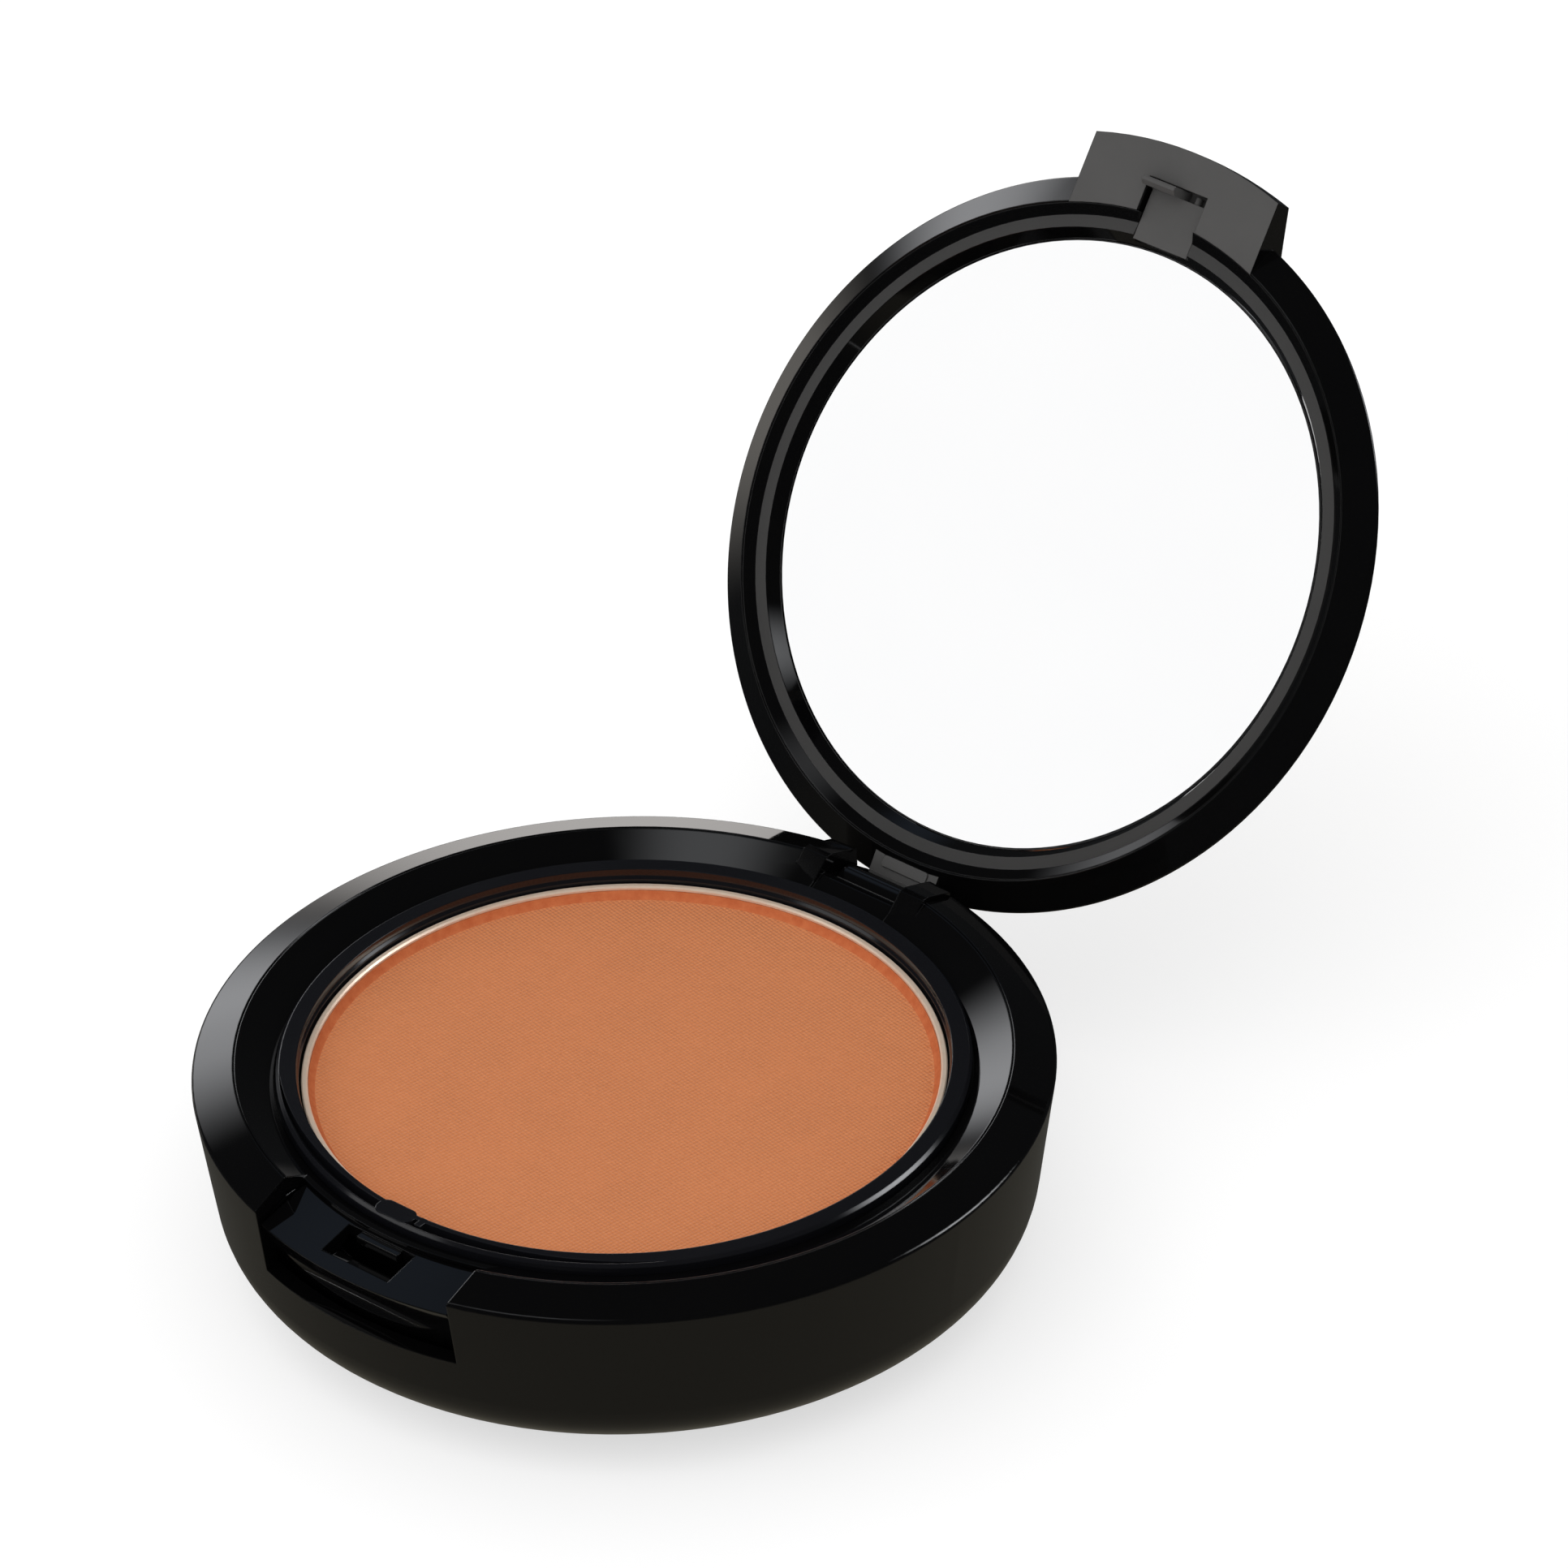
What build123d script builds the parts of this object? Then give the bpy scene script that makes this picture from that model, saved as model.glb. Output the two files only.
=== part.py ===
"""Powder compact with a mirror lid, a push button and a puff well, lid open.

Millimetres, +Z up. The origin is the centre of the flat bottom that the compact rests on.
The button faces -Y and the lid's hinge is at +Y. The lid is drawn shut and then turned open.
"""

import os
from math import cos, radians, sin, sqrt

from build123d import *

os.makedirs("parts", exist_ok=True)

# Base: radii and heights of its main edges
EDGE_Z = 19.3  # widest edge of the base
EDGE_R = 39.5
CREST_R = 35.55  # ridge between the outer band and the inner slope
CREST_Z = EDGE_Z + 1.44
SLOPE_R = 32.0  # foot of the inner slope
SLOPE_Z = EDGE_Z - 0.4
FOOT_R = 27.1
BELLY_R = 37.9  # where the side wall starts to curve under
BELLY_Z = 7.9
WALL = 1.6
EDGE_FILLET = 0.35
CREST_FILLET = 0.12

# Puff well and the seat of the tray
WELL_R = 30.9
WELL_FLOOR_Z = 6.5
SEAT_Z = EDGE_Z - 1.06
LINER_R = 32.25

# Tray, pan and powder; the pan is the standard 59 mm size
RING_R = 31.79
RING_BORE_R = 29.93
RING_Z = EDGE_Z + 0.52
RING_THICK = 1.5
PAN_R = 29.5
PAN_RIM_Z = EDGE_Z - 0.77
PAN_DEPTH = 4.1
PAN_SHEET = 0.35
PAN_RIM_WIDTH = 0.6
POWDER_Z = EDGE_Z - 1.8

# Lid, drawn shut
LID_EDGE_R = 35.04
LID_EDGE_Z = EDGE_Z + 2.5
LID_CREST_R = 32.15
LID_CREST_Z = LID_EDGE_Z - 2.11
LID_WALL = 1.3
CREST_FLAT = 0.1  # the crest's sharp corner is broken by this much
LID_SHOULDER_R = 8.0  # radius of the curve from the rim into the flat dome
LID_SHOULDER_START = 55.0  # slope at the rim and at the start of the dome, degrees
LID_SHOULDER_END = 8.0
LID_RING_R = 31.07
LID_RING_Z = LID_EDGE_Z - 1.33
MIRROR_R = 29.0
MIRROR_Z = LID_EDGE_Z - 0.1
MIRROR_THICK = 1.1
PAD_THICK = 0.2

# Lid tab and latch
TAB_HALF = 10.7
TAB_R = 38.9
TAB_TIP_THICK = 1.25
SLOT_HALF = 3.4
SLOT_END_Y = -35.4
HOOK_DEPTH = 1.5
NOTCH_HALF = 11.3
BUTTON_HALF = 11.0
BUTTON_FRONT_R = 39.1
BUTTON_FRONT_Z = EDGE_Z - 1.5
BUTTON_BACK_R = 33.1
BUTTON_SLOPE = 0.185  # fall of the button's top towards the front
BUTTON_FOOT_R = 35.7
BUTTON_FOOT_Z = EDGE_Z - 8.2
WINDOW_LIP_Z = EDGE_Z - 7.15
BRIDGE_R = 33.35

# Hinge
OPEN_ANGLE = 128.12
HINGE_Y = 36.47
HINGE_Z = EDGE_Z - 1.91
PIN_R = 0.75
PIN_CLEARANCE = 0.04
KNUCKLE_R = 1.9
KNUCKLE_HALF = 3.75
LUG_INNER = 4.4
LUG_OUTER = 7.14
POCKET_Y = 34.3
POCKET_FLOOR_Z = EDGE_Z - 4.6

HINGE_AXIS = Axis((0, HINGE_Y, HINGE_Z), (1, 0, 0))


def save(part, name):
    """Label a finished piece and write it."""
    part.label = name
    export_step(part, f"parts/{name}.step")


def opened(builder):
    """The lid piece turned from shut to open."""
    return builder.part.rotate(HINGE_AXIS, -OPEN_ANGLE)


def rings_at(builder, height):
    """Circular edges of a turned piece at one height."""
    circles = builder.edges().filter_by(GeomType.CIRCLE)
    return circles.filter_by_position(Axis.Z, height - 0.01, height + 0.01)


def slope_z(radius):
    """Height of the inner slope of the base at a radius."""
    return SLOPE_Z + (radius - SLOPE_R) * (CREST_Z - SLOPE_Z) / (CREST_R - SLOPE_R)


def button_top_z(radius):
    """Height of the button's top face at a radius."""
    return BUTTON_FRONT_Z + (BUTTON_FRONT_R - radius) * BUTTON_SLOPE


# ---------------------------------------------------------------- base shell
BAND_UNDER_Z = EDGE_Z - 1.3
LABEL_R = 12.0
LABEL_RECESS = 0.2
REAR_CUT_HALF = LUG_OUTER + 0.05
REAR_CUT_Z = POCKET_FLOOR_Z - 1.1

with BuildPart() as base_shell:
    with BuildSketch(Plane.XZ):
        with BuildLine():
            Line((0, 0), (FOOT_R, 0))
            Spline(
                (FOOT_R, 0),
                (34.1, 2.8),
                (BELLY_R, BELLY_Z),
                tangents=((1, 0.12), (0.14, 1)),
            )
            Line((BELLY_R, BELLY_Z), (EDGE_R, EDGE_Z))
            Line((EDGE_R, EDGE_Z), (CREST_R, CREST_Z))
            Line((CREST_R, CREST_Z), (CREST_R, BAND_UNDER_Z + 0.7))
            Line((CREST_R, BAND_UNDER_Z + 0.7), (EDGE_R - WALL - 0.2, BAND_UNDER_Z))
            Line((EDGE_R - WALL - 0.2, BAND_UNDER_Z), (BELLY_R - WALL, BELLY_Z + 0.4))
            Spline(
                (BELLY_R - WALL, BELLY_Z + 0.4),
                (33.0, 4.1),
                (FOOT_R - 0.8, WALL),
                tangents=((-0.14, -1), (-1, -0.12)),
            )
            Line((FOOT_R - 0.8, WALL), (0, WALL))
            Line((0, WALL), (0, 0))
        make_face()
    revolve(axis=Axis.Z)
    fillet(rings_at(base_shell, EDGE_Z), EDGE_FILLET)
    fillet(rings_at(base_shell, CREST_Z), CREST_FILLET)
    with BuildSketch(Plane.XY.offset(WINDOW_LIP_Z)):
        with Locations((0, -EDGE_R)):
            Rectangle(2 * NOTCH_HALF, 14)
    extrude(amount=EDGE_Z, mode=Mode.SUBTRACT)
    with BuildSketch(Plane.XY.offset(REAR_CUT_Z)):
        with Locations((0, EDGE_R)):
            Rectangle(2 * REAR_CUT_HALF, 2 * (EDGE_R - POCKET_Y))
    extrude(amount=EDGE_Z, mode=Mode.SUBTRACT)
    with BuildSketch(Plane.XY):
        Circle(LABEL_R + 0.3)
    extrude(amount=LABEL_RECESS, mode=Mode.SUBTRACT)
save(base_shell.part, "base_shell")

with BuildPart() as base_label:
    with BuildSketch(Plane.XY.offset(LABEL_RECESS)):
        Circle(LABEL_R)
    extrude(amount=-LABEL_RECESS)
save(base_label.part, "base_label")

# ---------------------------------------------------------------- base frame
CHEEK = 1.2
CHEEK_FOOT_Z = EDGE_Z - 9.5
BRIDGE_TOP_Z = EDGE_Z
BRIDGE_UNDER_Z = EDGE_Z - 0.42
LUG_FOOT_Z = POCKET_FLOOR_Z - 1.05
LUG_R = 39.25

with BuildPart() as base_frame:
    with BuildSketch(Plane.XZ):
        with BuildLine():
            Polyline(
                (CREST_R, CREST_Z),
                (SLOPE_R, SLOPE_Z),
                (SLOPE_R, SEAT_Z),
                (WELL_R, SEAT_Z),
                (WELL_R, WELL_FLOOR_Z),
                (0, WELL_FLOOR_Z),
                (0, WELL_FLOOR_Z - 1),
                (LINER_R, WELL_FLOOR_Z - 1),
                (LINER_R, EDGE_Z - 1.4),
                (CREST_R, CREST_Z - 1.6),
                close=True,
            )
        make_face()
    revolve(axis=Axis.Z)
    fillet(rings_at(base_frame, CREST_Z), CREST_FILLET)
    # Cheeks beside the button, from the liner out to the shell
    with BuildSketch(Plane.XZ):
        with BuildLine():
            Polyline(
                (LINER_R - 0.15, CHEEK_FOOT_Z),
                (36.1, CHEEK_FOOT_Z),
                (EDGE_R - WALL - 0.25, BAND_UNDER_Z - 0.05),
                (CREST_R, BAND_UNDER_Z + 0.65),
                (LINER_R - 0.15, BAND_UNDER_Z + 0.65),
                close=True,
            )
        make_face()
    revolve(axis=Axis.Z)
    # Space behind and beside the cheeks is open again
    with BuildSketch(Plane.XY.offset(CHEEK_FOOT_Z)):
        Circle(EDGE_R)
        Circle(LINER_R, mode=Mode.SUBTRACT)
        for side in (-1, 1):
            with Locations((side * (NOTCH_HALF + CHEEK / 2), -(EDGE_R + 30) / 2)):
                Rectangle(CHEEK, EDGE_R - 30 + 4, mode=Mode.SUBTRACT)
    extrude(amount=EDGE_Z - 1.4 - CHEEK_FOOT_Z, mode=Mode.SUBTRACT)
    # Notch for the tab: the slope is cut to a thin bridge that the button's top slides under
    with BuildSketch(Plane.XY.offset(BRIDGE_TOP_Z)):
        with Locations((0, -EDGE_R + 2)):
            Rectangle(2 * NOTCH_HALF, 15)
        Circle(SLOPE_R, mode=Mode.SUBTRACT)
    extrude(amount=5, mode=Mode.SUBTRACT)
    with BuildSketch(Plane.XY.offset(CHEEK_FOOT_Z)):
        with Locations((0, -EDGE_R + 2)):
            Rectangle(2 * NOTCH_HALF, 15)
        Circle(BRIDGE_R, mode=Mode.SUBTRACT)
    extrude(amount=EDGE_Z, mode=Mode.SUBTRACT)
    with BuildSketch(Plane.XY.offset(CHEEK_FOOT_Z)):
        with Locations((0, -EDGE_R + 2)):
            Rectangle(2 * NOTCH_HALF, 15)
        Circle(LINER_R, mode=Mode.SUBTRACT)
    extrude(amount=BRIDGE_UNDER_Z - CHEEK_FOOT_Z, mode=Mode.SUBTRACT)
    # Hinge lugs and the pocket between them
    with BuildSketch(Plane.YZ):
        with BuildLine():
            Polyline(
                (SLOPE_R, SLOPE_Z - 0.1),
                (34.55, EDGE_Z + 1.75),
                (35.3, EDGE_Z + 1.75),
                (38.4, EDGE_Z + 0.62),
                (LUG_R + 1, EDGE_Z - 0.3),
                (LUG_R + 1, LUG_FOOT_Z),
                (SLOPE_R, LUG_FOOT_Z),
                (SLOPE_R, SLOPE_Z - 0.6),
                close=True,
            )
        make_face()
    extrude(amount=LUG_OUTER, both=True)
    with BuildSketch(Plane.XY.offset(LUG_FOOT_Z)):
        with Locations((0, LUG_R)):
            Rectangle(3 * LUG_OUTER, 2 * (LUG_R - 30))
        Circle(LUG_R, mode=Mode.SUBTRACT)
    extrude(amount=EDGE_Z, mode=Mode.SUBTRACT)
    with BuildSketch(Plane.XY.offset(POCKET_FLOOR_Z)):
        with Locations((0, POCKET_Y + 5)):
            Rectangle(2 * LUG_INNER, 10)
    extrude(amount=EDGE_Z, mode=Mode.SUBTRACT)
    # Between the lugs the slope runs on, cut low for the rear of the lid
    with BuildSketch(Plane.YZ):
        with BuildLine():
            Polyline(
                (30, slope_z(30)),
                (33.7, slope_z(33.7) - 0.15),
                (35, slope_z(33.7) - 0.15),
                (35, EDGE_Z + 4),
                (30, EDGE_Z + 4),
                close=True,
            )
        make_face()
    extrude(amount=LUG_INNER, both=True, mode=Mode.SUBTRACT)
    with BuildSketch(Plane.YZ):
        with Locations((HINGE_Y, HINGE_Z)):
            Circle(PIN_R)
    extrude(amount=LUG_OUTER, both=True, mode=Mode.SUBTRACT)
save(base_frame.part, "base_frame")

with BuildPart() as lid_hinge_pin:
    with BuildSketch(Plane.YZ.offset(-LUG_OUTER + 0.1)):
        with Locations((HINGE_Y, HINGE_Z)):
            Circle(PIN_R)
    extrude(amount=2 * LUG_OUTER - 0.2)
    chamfer(lid_hinge_pin.edges().filter_by(GeomType.CIRCLE), 0.12)
save(lid_hinge_pin.part, "lid_hinge_pin")

# ---------------------------------------------------------------- latch button
FACE_THICK = 2.2
PLATE_THICK = 1.0
HOLE_HALF = 3.9
HOLE_BACK_Y = -33.5
HOLE_FRONT_Y = -37.3
CATCH_HALF = 2.4
CATCH_TIP_Y = -34.3
CATCH_DROP = 0.9
SCOOP_R = 2.6
SCOOP_DEPTH = 0.8
SCOOP_Z = EDGE_Z - 5.2


def face_r(height):
    """Radius of the button's thumb face at a height."""
    fall = (BUTTON_FRONT_Z - height) / (BUTTON_FRONT_Z - BUTTON_FOOT_Z)
    return BUTTON_FRONT_R - fall * (BUTTON_FRONT_R - BUTTON_FOOT_R)


with BuildPart() as latch_button:
    with BuildSketch(Plane.XZ):
        with BuildLine():
            Polyline(
                (BUTTON_BACK_R, button_top_z(BUTTON_BACK_R) - 0.06),
                (BUTTON_FRONT_R, BUTTON_FRONT_Z),
                (BUTTON_FOOT_R, BUTTON_FOOT_Z),
                (BUTTON_FOOT_R - FACE_THICK + 0.6, BUTTON_FOOT_Z),
                (BUTTON_FRONT_R - FACE_THICK - 0.8, BUTTON_FRONT_Z - PLATE_THICK - 0.6),
                (BUTTON_BACK_R, button_top_z(BUTTON_BACK_R) - PLATE_THICK),
                close=True,
            )
        make_face()
    revolve(axis=Axis.Z)
    with BuildSketch(Plane.XY.offset(EDGE_Z - 12)):
        with Locations((0, -EDGE_R)):
            Rectangle(2 * BUTTON_HALF, 20)
    extrude(amount=15, mode=Mode.INTERSECT)
    with BuildSketch(Plane.YZ):
        with Locations((-face_r(SCOOP_Z) - SCOOP_R + SCOOP_DEPTH, SCOOP_Z)):
            Circle(SCOOP_R)
    extrude(amount=BUTTON_HALF + 1, both=True, mode=Mode.SUBTRACT)
    with BuildSketch(Plane.XY.offset(EDGE_Z - 2.6)):
        with Locations((0, (HOLE_BACK_Y + HOLE_FRONT_Y) / 2)):
            Rectangle(2 * HOLE_HALF, HOLE_BACK_Y - HOLE_FRONT_Y)
    extrude(amount=5, mode=Mode.SUBTRACT)
    # Catch bar on the back wall of the hole
    with BuildSketch(Plane.YZ):
        with BuildLine():
            Polyline(
                (HOLE_BACK_Y + 0.2, button_top_z(34) - 0.15),
                (CATCH_TIP_Y + 0.1, button_top_z(34) - 0.25),
                (CATCH_TIP_Y, button_top_z(34) - 0.4),
                (CATCH_TIP_Y, button_top_z(34) - CATCH_DROP),
                (HOLE_BACK_Y + 0.2, button_top_z(34) - CATCH_DROP),
                close=True,
            )
        make_face()
    extrude(amount=CATCH_HALF, both=True)
save(latch_button.part, "latch_button")

SPRING_HALF = 8.0
SPRING_LOW_Z = EDGE_Z - 5.6
SPRING_HIGH_Z = EDGE_Z - 3.6
SPRING_STRIP = 0.25

with BuildPart() as button_spring:
    with BuildSketch(Plane.XY.offset(SPRING_LOW_Z)):
        with BuildLine():
            foot_y = -sqrt(LINER_R**2 - SPRING_HALF**2) - 0.15
            tip_y = -34.6
            ThreePointArc((-SPRING_HALF, foot_y), (0, tip_y), (SPRING_HALF, foot_y))
            Line((SPRING_HALF, foot_y), (SPRING_HALF, foot_y - SPRING_STRIP))
            ThreePointArc(
                (SPRING_HALF, foot_y - SPRING_STRIP),
                (0, tip_y - SPRING_STRIP),
                (-SPRING_HALF, foot_y - SPRING_STRIP),
            )
            Line((-SPRING_HALF, foot_y - SPRING_STRIP), (-SPRING_HALF, foot_y))
        make_face()
    extrude(amount=SPRING_HIGH_Z - SPRING_LOW_Z)
save(button_spring.part, "button_spring")

# ---------------------------------------------------------------- tray, pan, powder, puff
TRAY_WALL_R = 30.5
TRAY_FLOOR_Z = PAN_RIM_Z - PAN_DEPTH - PAD_THICK
TAB_CENTRE_X = -0.9
GROOVE_DEPTH = 1.1

with BuildPart() as tray:
    with BuildSketch(Plane.XZ):
        with BuildLine():
            Polyline(
                (RING_BORE_R, RING_Z),
                (RING_R - 0.3, RING_Z),
                (RING_R, RING_Z - 0.3),
                (RING_R, RING_Z - RING_THICK),
                (TRAY_WALL_R, RING_Z - RING_THICK),
                (TRAY_WALL_R, TRAY_FLOOR_Z - 0.8),
                (0, TRAY_FLOOR_Z - 0.8),
                (0, TRAY_FLOOR_Z),
                (PAN_R + 0.2, TRAY_FLOOR_Z),
                (PAN_R + 0.2, RING_Z - 1),
                (RING_BORE_R, RING_Z - 0.7),
                close=True,
            )
        make_face()
    revolve(axis=Axis.Z)
    # Crescent groove for a fingernail, with the lifting tab across its middle
    with BuildSketch(Plane.XY.offset(RING_Z)):
        Circle(RING_R - 0.35)
        with Locations((0, 3.6)):
            Circle(RING_R + 2.2, mode=Mode.SUBTRACT)
    extrude(amount=-GROOVE_DEPTH, mode=Mode.SUBTRACT)
    with BuildSketch(Plane.XY.offset(RING_Z)):
        with Locations((TAB_CENTRE_X, -RING_R + 1.25)):
            RectangleRounded(4.2, 2.0, 0.9)
        with Locations((TAB_CENTRE_X + 2.9, -RING_R + 1.35)):
            Rectangle(0.7, 1.2)
    extrude(amount=-GROOVE_DEPTH)
save(tray.part, "tray")

with BuildPart() as pan_pad:
    with BuildSketch(Plane.XY.offset(TRAY_FLOOR_Z)):
        Circle(PAN_R - 4)
    extrude(amount=PAD_THICK)
save(pan_pad.part, "pan_pad")

with BuildPart() as powder_pan:
    with BuildSketch(Plane.XZ):
        with BuildLine():
            Polyline(
                (0, PAN_RIM_Z - PAN_DEPTH),
                (PAN_R - 0.6, PAN_RIM_Z - PAN_DEPTH),
                (PAN_R - 0.1, PAN_RIM_Z - PAN_DEPTH + 0.5),
                (PAN_R, PAN_RIM_Z - 0.1),
                (PAN_R - 0.1, PAN_RIM_Z),
                (PAN_R - PAN_RIM_WIDTH + 0.15, PAN_RIM_Z),
                (PAN_R - PAN_RIM_WIDTH, PAN_RIM_Z - 0.15),
                (PAN_R - PAN_RIM_WIDTH, PAN_RIM_Z - PAN_DEPTH + 0.9),
                (PAN_R - 1.1, PAN_RIM_Z - PAN_DEPTH + PAN_SHEET),
                (0, PAN_RIM_Z - PAN_DEPTH + PAN_SHEET),
                close=True,
            )
        make_face()
    revolve(axis=Axis.Z)
save(powder_pan.part, "powder_pan")

POWDER_R = PAN_R - PAN_RIM_WIDTH - 0.02
POWDER_EDGE = 0.55

with BuildPart() as powder_cake:
    with BuildSketch(Plane.XZ):
        with BuildLine():
            Polyline(
                (0, PAN_RIM_Z - PAN_DEPTH + PAN_SHEET),
                (POWDER_R - 0.6, PAN_RIM_Z - PAN_DEPTH + PAN_SHEET),
                (POWDER_R, PAN_RIM_Z - PAN_DEPTH + 1.1),
                (POWDER_R, PAN_RIM_Z - 0.35),
                (POWDER_R - POWDER_EDGE, POWDER_Z),
                (0, POWDER_Z),
                close=True,
            )
        make_face()
    revolve(axis=Axis.Z)
save(powder_cake.part, "powder_cake")

PUFF_R = 28.0
PUFF_THICK = 5.4

with BuildPart() as puff:
    with BuildSketch(Plane.XY.offset(WELL_FLOOR_Z + 0.05)):
        Circle(PUFF_R)
    extrude(amount=PUFF_THICK)
    fillet(puff.edges(), 1.6)
save(puff.part, "puff")

# ---------------------------------------------------------------- lid, drawn shut
start, end = radians(LID_SHOULDER_START), radians(LID_SHOULDER_END)
shoulder_run = LID_SHOULDER_R * (sin(start) - sin(end))
shoulder_rise = LID_SHOULDER_R * (cos(end) - cos(start))
dome_r = (LID_EDGE_R - shoulder_run) / sin(end)
dome_rise = dome_r * (1 - cos(end))
SHOULDER_C = (LID_EDGE_R - LID_SHOULDER_R * sin(start), LID_EDGE_Z - LID_SHOULDER_R * cos(start))
LID_TOP_Z = LID_EDGE_Z + shoulder_rise + dome_rise


def shoulder(radius, angle):
    """Point on a circle about the shoulder's centre, the angle measured from +Z."""
    return (SHOULDER_C[0] + radius * sin(angle), SHOULDER_C[1] + radius * cos(angle))


def dome(drop, angle):
    """Point on the flat dome or an offset of it, the angle measured from +Z."""
    radius = dome_r - drop
    return (radius * sin(angle), LID_TOP_Z - dome_r + radius * cos(angle))


INNER_R = LID_SHOULDER_R - LID_WALL
inner_start = LID_CREST_R - SHOULDER_C[0]
INNER_START_Z = SHOULDER_C[1] + sqrt(INNER_R**2 - inner_start**2)
TAB_SLOT_TOP = LID_CREST_Z + 1.9

with BuildPart() as tab_slot:
    with BuildSketch(Plane.XY.offset(LID_CREST_Z - 1)):
        with Locations((0, (SLOT_END_Y - 30) / 2)):
            Rectangle(2 * SLOT_HALF, -30 - SLOT_END_Y)
    extrude(amount=TAB_SLOT_TOP - LID_CREST_Z + 1)

with BuildPart() as front_tab:
    with BuildSketch(Plane.YZ):
        with BuildLine():
            face_line = Line((-29, LID_CREST_Z), (-TAB_R - 0.5, LID_CREST_Z - 0.16))
            tip_line = Line(face_line @ 1, face_line @ 1 + (0, TAB_TIP_THICK))
            ThreePointArc(tip_line @ 1, (-35.9, LID_CREST_Z + 2.65), (-32.6, LID_CREST_Z + 4.2))
            Polyline(
                (-32.6, LID_CREST_Z + 4.2),
                (-32, LID_CREST_Z + 3.1),
                (-29, LID_CREST_Z + 3.1),
                (-29, LID_CREST_Z),
            )
        make_face()
    extrude(amount=TAB_HALF, both=True)
    with BuildSketch(Plane.XY.offset(LID_CREST_Z - 1)):
        Circle(TAB_R)
        Circle(LID_CREST_R, mode=Mode.SUBTRACT)
    extrude(amount=8, mode=Mode.INTERSECT)
    add(tab_slot.part, mode=Mode.SUBTRACT)

with BuildPart() as lid_cover:
    with BuildSketch(Plane.XZ):
        with BuildLine():
            middle = (start + end) / 2
            Polyline(
                (LID_CREST_R, LID_CREST_Z + CREST_FLAT),
                (LID_CREST_R + CREST_FLAT, LID_CREST_Z + 0.3 * CREST_FLAT),
                (LID_EDGE_R, LID_EDGE_Z),
            )
            ThreePointArc(
                (LID_EDGE_R, LID_EDGE_Z),
                shoulder(LID_SHOULDER_R, middle),
                shoulder(LID_SHOULDER_R, end),
            )
            ThreePointArc(shoulder(LID_SHOULDER_R, end), dome(0, end / 2), (0, LID_TOP_Z))
            Line((0, LID_TOP_Z), (0, LID_TOP_Z - LID_WALL))
            ThreePointArc((0, LID_TOP_Z - LID_WALL), dome(LID_WALL, end / 2), dome(LID_WALL, end))
            ThreePointArc(
                dome(LID_WALL, end),
                shoulder(INNER_R, 0.5 * end + 0.25 * start),
                (LID_CREST_R, INNER_START_Z),
            )
            Line((LID_CREST_R, INNER_START_Z), (LID_CREST_R, LID_CREST_Z + CREST_FLAT))
        make_face()
    revolve(axis=Axis.Z)
    fillet(rings_at(lid_cover, LID_EDGE_Z), 0.2)
    add(tab_slot.part, mode=Mode.SUBTRACT)
    add(front_tab.part)
    # Knuckle and its arm at the back
    BLOCK_Z = LID_CREST_Z + 0.42
    with BuildSketch(Plane.YZ):
        with BuildLine():
            Polyline(
                (32.3, BLOCK_Z),
                (HINGE_Y - KNUCKLE_R + 0.02, BLOCK_Z + 0.2),
                (HINGE_Y - KNUCKLE_R + 0.02, HINGE_Z),
                (HINGE_Y + KNUCKLE_R * cos(radians(30)), HINGE_Z + KNUCKLE_R * sin(radians(30))),
                (37.35, EDGE_Z + 0.7),
                (36.2, EDGE_Z + 2.2),
                (34.3, EDGE_Z + 3.7),
                (32.3, EDGE_Z + 3.7),
                close=True,
            )
        make_face()
        with Locations((HINGE_Y, HINGE_Z)):
            Circle(KNUCKLE_R)
    extrude(amount=KNUCKLE_HALF, both=True)
    with BuildSketch(Plane.YZ):
        with Locations((HINGE_Y, HINGE_Z)):
            Circle(PIN_R + PIN_CLEARANCE)
    extrude(amount=KNUCKLE_HALF, both=True, mode=Mode.SUBTRACT)
    with BuildSketch(Plane.XY.offset(BLOCK_Z - 0.5)):
        with Locations((0, 33.25)):
            RectangleRounded(5.3, 1.2, 0.35)
    extrude(amount=1.5, mode=Mode.SUBTRACT)
save(opened(lid_cover), "lid_cover")

with BuildPart() as hinge_plug:
    with BuildSketch(Plane.XY.offset(BLOCK_Z - 0.06)):
        with Locations((0, 33.25)):
            RectangleRounded(5.2, 1.1, 0.3)
    extrude(amount=1.0)
save(opened(hinge_plug), "hinge_plug")

FRAME_FLOOR_Z = MIRROR_Z + MIRROR_THICK + PAD_THICK
TONGUE_HALF = 3.1
TONGUE_END_Y = -29.4
TONGUE_TOP_Z = LID_RING_Z + 0.9

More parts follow.
